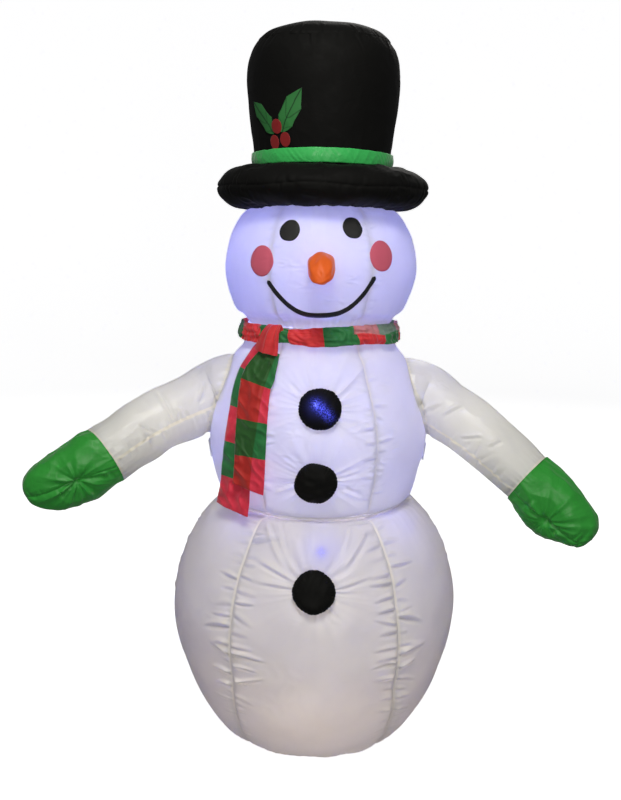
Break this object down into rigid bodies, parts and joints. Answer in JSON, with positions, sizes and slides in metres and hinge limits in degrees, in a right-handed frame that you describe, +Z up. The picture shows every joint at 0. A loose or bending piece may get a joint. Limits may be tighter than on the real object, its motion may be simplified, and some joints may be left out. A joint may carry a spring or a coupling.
{
  "type": "inflatable yard snowman",
  "caption": "Self-inflating, lit yard snowman: sewn fabric balls with arms, top hat and scarf, held up by a fan in the back that runs all the time.",
  "frame": {"origin": "centre of the flat base panel's underside, on the ground, under the figure's own upright axis", "axes": "+Z up through the waist, neck and hat, -Y the way the face and the buttons look, +X to the viewer's right"},
  "size_m": [0.9512, 0.503, 1.2215],
  "materials": {
    "white_cloth": "thin white coated polyester, translucent, lit from inside",
    "black_cloth": "thin black coated polyester with a soft sheen",
    "green_cloth": "thin green coated polyester with a soft sheen",
    "band_green": "bright green polyester band, gathered a little",
    "scarf_check": "thin polyester printed in red and green checks",
    "orange_cloth": "thin orange polyester",
    "print_black": "matt black print on cloth",
    "cheek_pink": "matt pink print on cloth",
    "berry_red": "matt red print on cloth",
    "leaf_green": "matt green print on cloth with dark veins",
    "fan_plastic": "black moulded plastic with a fine grain",
    "fan_metal": "zinc-plated motor can",
    "zip_tape": "white woven tape with a nylon coil",
    "zip_metal": "die-cast metal",
    "webbing": "dark woven polyester webbing",
    "lamp_clear": "clear globe over a cool white light-emitting diode",
    "cable": "white insulated low-voltage lead"
  },
  "bodies": {
    "lower_body": {"base_panel": "white_cloth", "lower_panel_1": "white_cloth", "lower_panel_2": "white_cloth", "lower_panel_3": "white_cloth", "lower_panel_4": "white_cloth", "lower_panel_5": "white_cloth", "lower_panel_6": "white_cloth", "button_bottom": "black_cloth", "waist_band": "white_cloth", "blower_housing": "fan_plastic", "intake_grille": "fan_plastic", "fan_motor": "fan_metal", "power_jack": "fan_plastic", "zipper_tape": "zip_tape", "led_lamp_lower": "lamp_clear", "lighting_cable": "cable"},
    "fan_rotor": {"impeller": "fan_plastic"},
    "zip_slider": {"zipper_slider": "zip_metal"},
    "zip_pull": {"zipper_pull": "zip_metal"},
    "torso": {"torso_panel_1": "white_cloth", "torso_panel_2": "white_cloth", "torso_panel_3": "white_cloth", "torso_panel_4": "white_cloth", "torso_panel_5": "white_cloth", "torso_panel_6": "white_cloth", "button_top": "black_cloth", "button_middle": "black_cloth", "scarf_wrap": "scarf_check", "scarf_knot": "scarf_check", "neck_band": "white_cloth", "tether_loop_left": "webbing", "tether_loop_right": "webbing", "led_lamp_chest": "lamp_clear"},
    "scarf_tails": {"scarf_tail_front": "scarf_check", "scarf_tail_back": "scarf_check"},
    "arm_left": {"sleeve_left": "white_cloth", "mitten_left": "green_cloth"},
    "arm_right": {"sleeve_right": "white_cloth", "mitten_right": "green_cloth"},
    "head": {"head_panel_1": "white_cloth", "head_panel_2": "white_cloth", "head_panel_3": "white_cloth", "head_panel_4": "white_cloth", "head_panel_5": "white_cloth", "head_panel_6": "white_cloth", "eye_left": "print_black", "eye_right": "print_black", "cheek_left": "cheek_pink", "cheek_right": "cheek_pink", "mouth": "print_black", "nose": "orange_cloth", "hat_brim_under": "black_cloth", "hat_brim_top": "black_cloth", "hat_crown_side": "black_cloth", "hat_crown_top": "black_cloth", "hat_band": "band_green", "holly_leaves": "leaf_green", "holly_berries": "berry_red", "led_lamp_head": "lamp_clear"}
  },
  "joints": [
    {"name": "impeller_spin", "type": "hinge", "parent": "lower_body", "child": "fan_rotor", "pos_m": [0, 0.21327, 0.15479], "axis": [0, 0.953, -0.303], "continuous": true},
    {"name": "zipper_travel", "type": "hinge", "parent": "lower_body", "child": "zip_slider", "pos_m": [0, 0, 0.345], "axis": [0, 0, 1], "range_deg": [0, 27]},
    {"name": "pull_flip", "type": "hinge", "parent": "zip_slider", "child": "zip_pull", "pos_m": [0.05494, 0.22886, 0.34742], "axis": [0.0783, 0.3263, -0.942], "range_deg": [0, 160]},
    {"name": "waist_sway", "type": "hinge", "parent": "lower_body", "child": "torso", "pos_m": [0, 0, 0.432], "axis": [0, 1, 0], "range_deg": [-4.5, 4.5], "stiffness_Nm_per_rad": 14, "deforming": ["waist_band", "lighting_cable"]},
    {"name": "neck_nod", "type": "hinge", "parent": "torso", "child": "head", "pos_m": [0, 0, 0.735], "axis": [1, 0, 0], "range_deg": [-4, 4], "stiffness_Nm_per_rad": 5, "deforming": ["neck_band", "lighting_cable"]},
    {"name": "left_arm_flex", "type": "hinge", "parent": "torso", "child": "arm_left", "pos_m": [-0.172, 0, 0.606], "axis": [0, 1, 0], "range_deg": [-10, 10], "stiffness_Nm_per_rad": 1.5, "springref_deg": 2.86},
    {"name": "right_arm_flex", "type": "hinge", "parent": "torso", "child": "arm_right", "pos_m": [0.177, 0, 0.61], "axis": [0, -1, 0], "range_deg": [-10, 10], "stiffness_Nm_per_rad": 1.5, "springref_deg": 2.86},
    {"name": "scarf_tails_lift", "type": "hinge", "parent": "torso", "child": "scarf_tails", "pos_m": [-0.08489, -0.12123, 0.718], "axis": [-0.8192, 0.5736, 0], "range_deg": [0, 60]}
  ]
}
